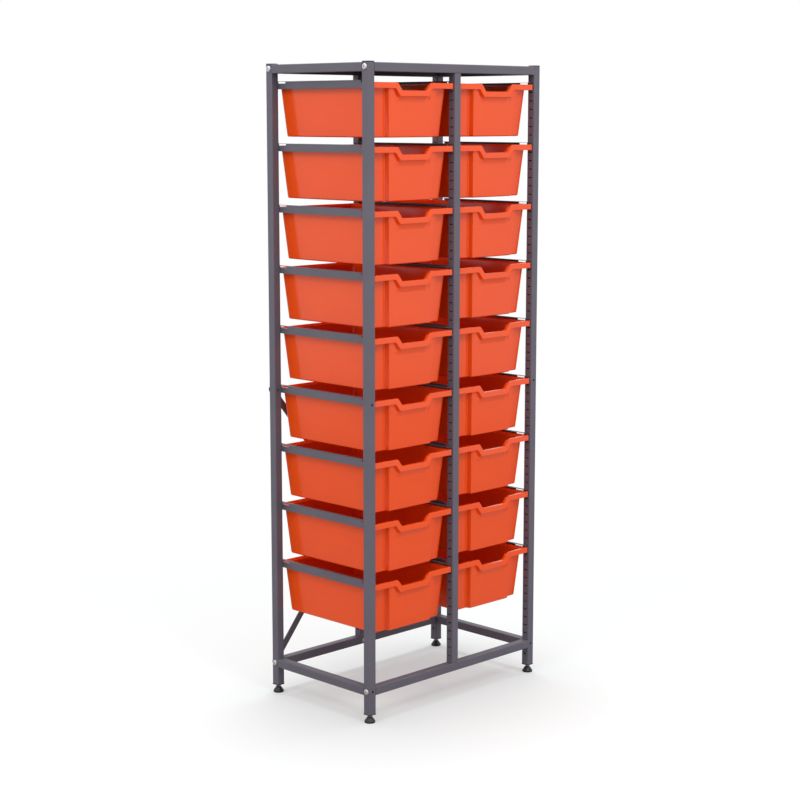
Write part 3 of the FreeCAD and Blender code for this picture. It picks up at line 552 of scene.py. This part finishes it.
def make_floor():
    """A plain floor with the object's soft shadow, which fades to white around the object."""
    mesh = bpy.data.meshes.new("floor")
    half = FLOOR_SIZE / 2
    corners = [(-half, -half, 0), (half, -half, 0), (half, half, 0), (-half, half, 0)]
    mesh.from_pydata(corners, [], [(0, 1, 2, 3)])
    floor = bpy.data.objects.new("floor", mesh)
    bpy.context.scene.collection.objects.link(floor)
    material = bpy.data.materials.new("floor")
    material.use_nodes = True
    nodes, links = material.node_tree.nodes, material.node_tree.links
    nodes.remove(nodes["Principled BSDF"])
    white = emission(nodes, 1.0)
    shaded = nodes.new("ShaderNodeAddShader")
    links.new(diffuse(nodes, FLOOR_WHITE * FLOOR_RED_SHARE, FLOOR_WHITE, FLOOR_WHITE), shaded.inputs[0])
    links.new(emission(nodes, FLOOR_GLOW), shaded.inputs[1])
    seen = mixed(nodes, links, fade_outwards(nodes, links, *SEEN_FADE), shaded.outputs[0], white)
    path = nodes.new("ShaderNodeLightPath")
    mirrored_far = calculated(nodes, links, "MULTIPLY", path.outputs["Is Glossy Ray"],
                              fade_outwards(nodes, links, *MIRROR_FADE))
    bounced = mixed(nodes, links, mirrored_far, diffuse(nodes, *3 * [FLOOR_BOUNCE]), white)
    direct = calculated(nodes, links, "MAXIMUM", path.outputs["Is Camera Ray"],
                        path.outputs["Is Transmission Ray"])
    surface = mixed(nodes, links, direct, bounced, seen)
    links.new(surface, nodes["Material Output"].inputs["Surface"])
    mesh.materials.append(material)


def make_world():
    """White to the camera and in reflections, a soft even sky for everything else."""
    world = bpy.data.worlds.new("studio")
    bpy.context.scene.world = world
    world.use_nodes = True
    nodes, links = world.node_tree.nodes, world.node_tree.links
    background = nodes["Background"]
    path = nodes.new("ShaderNodeLightPath")
    shown = calculated(nodes, links, "MAXIMUM", path.outputs["Is Camera Ray"],
                       path.outputs["Is Glossy Ray"])
    shown = calculated(nodes, links, "MAXIMUM", shown, path.outputs["Is Transmission Ray"])
    strength = nodes.new("ShaderNodeMapRange")
    strength.inputs["To Min"].default_value = SKY_STRENGTH
    strength.inputs["To Max"].default_value = 1.0
    links.new(shown, strength.inputs["Value"])
    links.new(strength.outputs["Result"], background.inputs["Strength"])
    background.inputs["Color"].default_value = (1, 1, 1, 1)


UPPER_PART = (0, 0, 1.6)
MIDDLE = (0, 0, 0.95)
# name, place, aimed at, diameter in metres, power in watts
LAMPS = (
    ("front", (-0.6, -3.0, 4.2), UPPER_PART, 1.6, 46),
    ("side", (-3.0, -0.4, 4.2), UPPER_PART, 1.6, 36),
    ("top", (0.5, 0.5, 7.0), MIDDLE, 2.0, 230),
)


def add_lamp(name, place, aim, size, power):
    light = bpy.data.lights.new(name, "AREA")
    light.shape = "DISK"
    light.size = size
    light.energy = power
    lamp = bpy.data.objects.new(name, light)
    bpy.context.scene.collection.objects.link(lamp)
    lamp.location = place
    lamp.rotation_mode = "QUATERNION"
    lamp.rotation_quaternion = (Vector(place) - Vector(aim)).to_track_quat("Z", "Y")


def make_lamps():
    for lamp in LAMPS:
        add_lamp(*lamp)


CAMERA_PLACE = (-3.7688, -3.7691, 1.7094)
CAMERA_AZIMUTH = -44.852
CAMERA_ELEVATION = 8.949
CAMERA_LENS = 81.32
SENSOR = 36.0


def make_camera():
    """A long lens at the front left, almost as high as the top of the unit."""
    camera = bpy.data.objects.new("camera", bpy.data.cameras.new("camera"))
    bpy.context.scene.collection.objects.link(camera)
    camera.data.lens = CAMERA_LENS
    camera.data.sensor_width = SENSOR
    azimuth, elevation = math.radians(CAMERA_AZIMUTH), math.radians(CAMERA_ELEVATION)
    back = Vector((math.sin(azimuth) * math.cos(elevation),
                   -math.cos(azimuth) * math.cos(elevation), math.sin(elevation)))
    camera.location = CAMERA_PLACE
    camera.rotation_mode = "QUATERNION"
    camera.rotation_quaternion = (-back).to_track_quat("-Z", "Y")
    bpy.context.scene.camera = camera


# ---------------------------------------------------------------- the scene
bpy.context.scene.view_settings.view_transform = "Standard"
finish_nodes()
place_trays()
make_floor()
make_world()
make_lamps()
make_camera()
